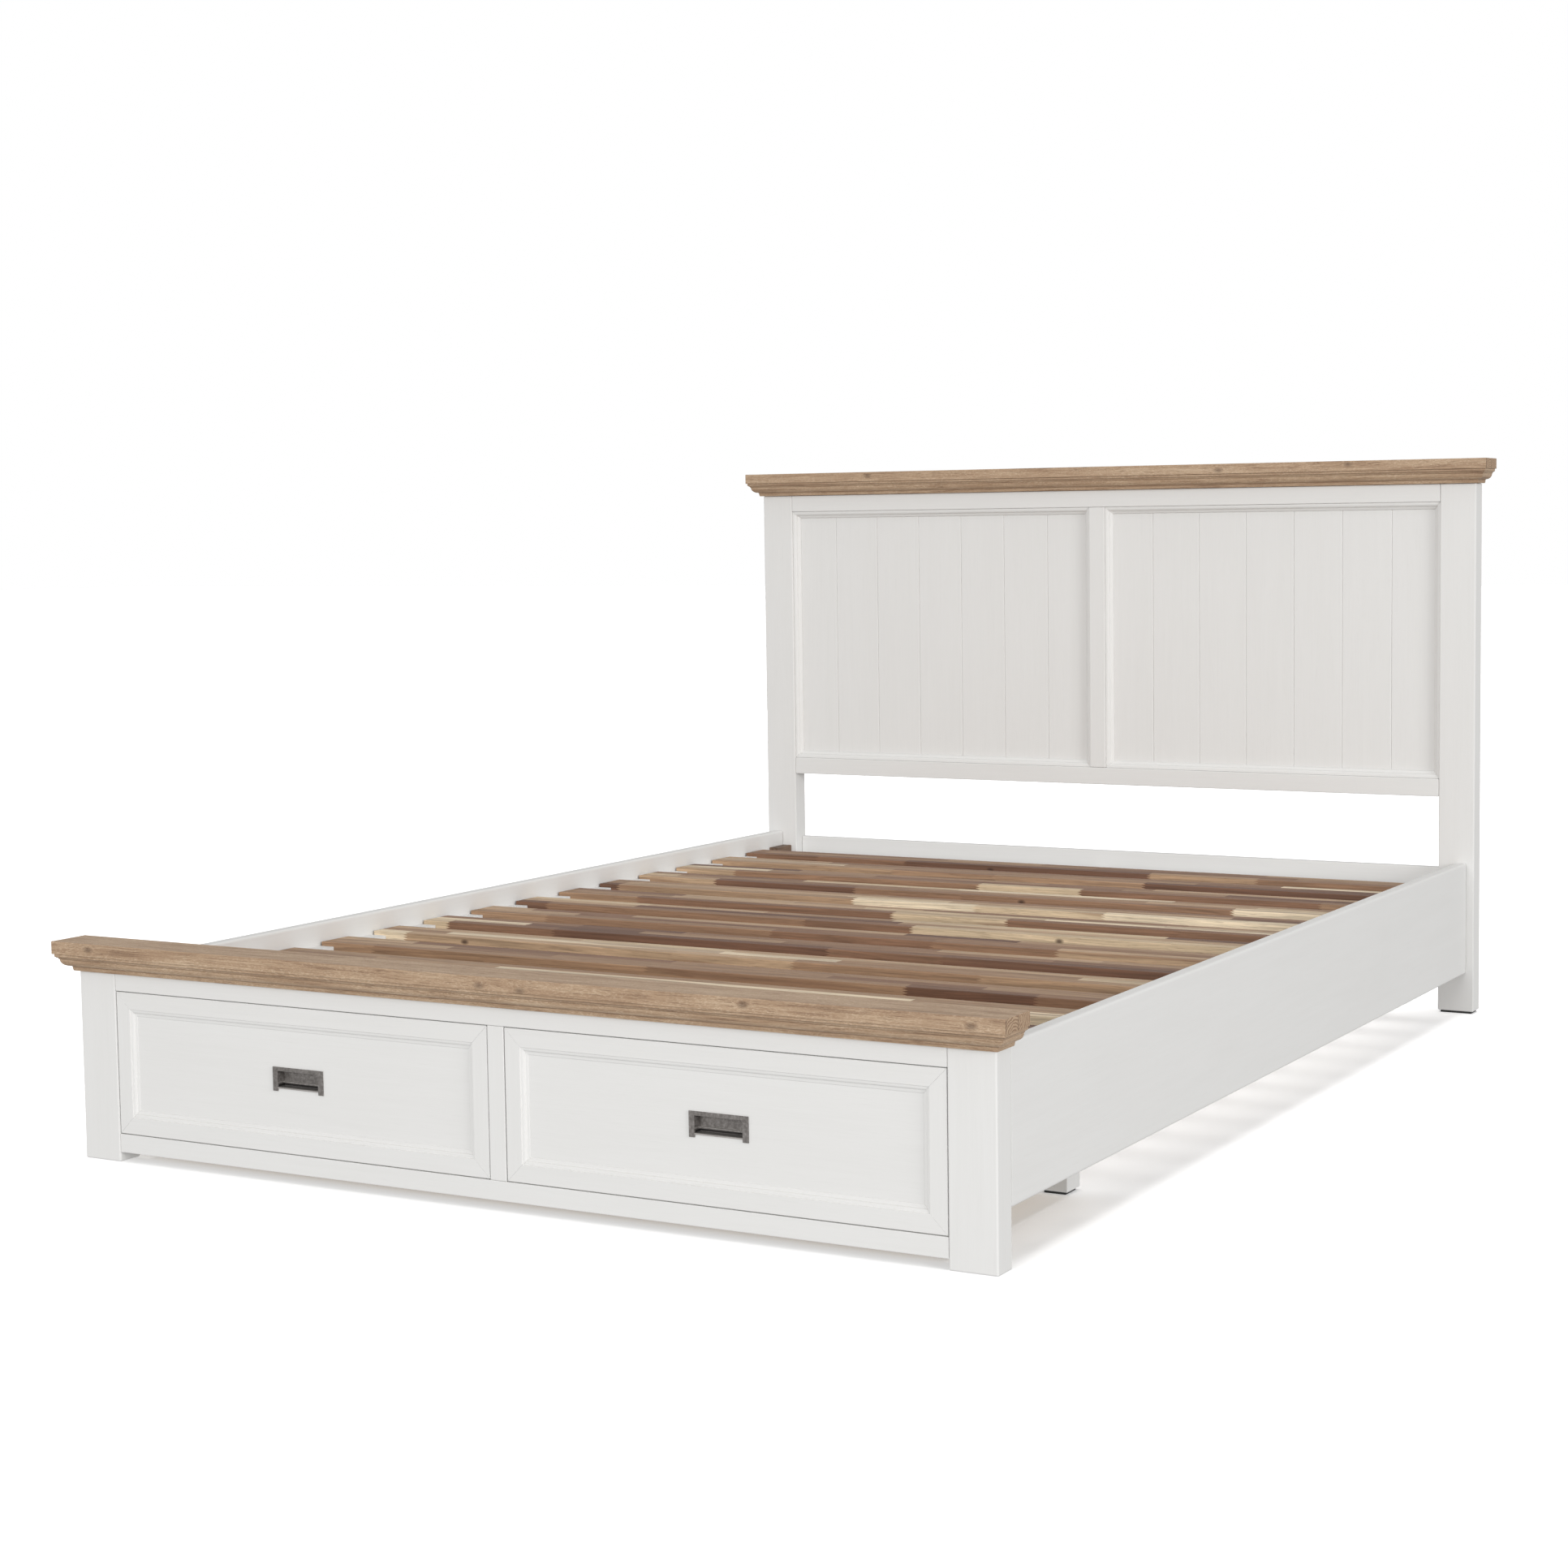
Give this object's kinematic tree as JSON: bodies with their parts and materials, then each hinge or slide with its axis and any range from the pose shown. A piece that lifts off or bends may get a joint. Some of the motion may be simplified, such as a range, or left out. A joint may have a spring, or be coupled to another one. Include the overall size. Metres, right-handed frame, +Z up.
{
  "type": "bed frame",
  "caption": "White-painted wooden bed frame with a panelled headboard, brown moulded caps, a slatted base and two foot-end drawers with flush pulls.",
  "frame": {"origin": "on the floor at the middle of the bed's bounding box", "axes": "+Z up; +Y towards the headboard; the foot end and its drawers face -Y; +X is the right-hand side seen from the foot"},
  "size_m": [1.65, 2.151, 1.079],
  "materials": {
    "white_paint": "satin painted wood with faint brush lines",
    "cap_wood": "weathered brown, low sheen",
    "slat_wood": "oiled, staves of mixed tones",
    "block_wood": "dark, low sheen",
    "drawer_wood": "clear satin",
    "pewter": "dark cast metal, slightly rough",
    "glide_plastic": "matt"
  },
  "bodies": {
    "frame": {"headboard_post_left": "white_paint", "headboard_post_right": "white_paint", "headboard_top_rail": "white_paint", "headboard_lower_rail": "white_paint", "headboard_mid_stile": "white_paint", "headboard_panel_left": "white_paint", "headboard_panel_right": "white_paint", "headboard_bead_left": "white_paint", "headboard_bead_right": "white_paint", "headboard_cross_rail": "white_paint", "foot_post_left": "white_paint", "foot_post_right": "white_paint", "foot_top_rail": "white_paint", "foot_bottom_rail": "white_paint", "foot_mid_stile": "white_paint", "side_rail_left": "white_paint", "side_rail_right": "white_paint", "slat_cleat_left": "white_paint", "slat_cleat_right": "white_paint", "centre_beam": "white_paint", "centre_leg": "white_paint", "drawer_leg_left": "white_paint", "drawer_leg_right": "white_paint", "headboard_cap": "cap_wood", "foot_cap": "cap_wood", "slat_01": "slat_wood", "slat_02": "slat_wood", "slat_03": "slat_wood", "slat_04": "slat_wood", "slat_05": "slat_wood", "slat_06": "slat_wood", "slat_07": "slat_wood", "slat_08": "slat_wood", "slat_09": "slat_wood", "slat_10": "slat_wood", "slat_11": "slat_wood", "slat_12": "slat_wood", "slat_13": "slat_wood", "slat_14": "slat_wood", "corner_block_left": "block_wood", "corner_block_right": "block_wood", "drawer_shelf": "drawer_wood", "headboard_glide_left": "glide_plastic", "headboard_glide_right": "glide_plastic", "drawer_leg_left_glide": "glide_plastic", "drawer_leg_right_glide": "glide_plastic", "centre_leg_glide": "glide_plastic"},
    "left_drawer": {"left_drawer_front": "white_paint", "left_drawer_inner_side": "drawer_wood", "left_drawer_outer_side": "drawer_wood", "left_drawer_bottom": "drawer_wood", "left_drawer_back": "drawer_wood", "left_drawer_pull": "pewter"},
    "right_drawer": {"right_drawer_front": "white_paint", "right_drawer_inner_side": "drawer_wood", "right_drawer_outer_side": "drawer_wood", "right_drawer_bottom": "drawer_wood", "right_drawer_back": "drawer_wood", "right_drawer_pull": "pewter"}
  },
  "joints": [
    {"name": "left_drawer_slide", "type": "slide", "parent": "frame", "child": "left_drawer", "axis": [0, -1, 0], "range_m": [0, 0.32]},
    {"name": "right_drawer_slide", "type": "slide", "parent": "frame", "child": "right_drawer", "axis": [0, -1, 0], "range_m": [0, 0.32]}
  ]
}
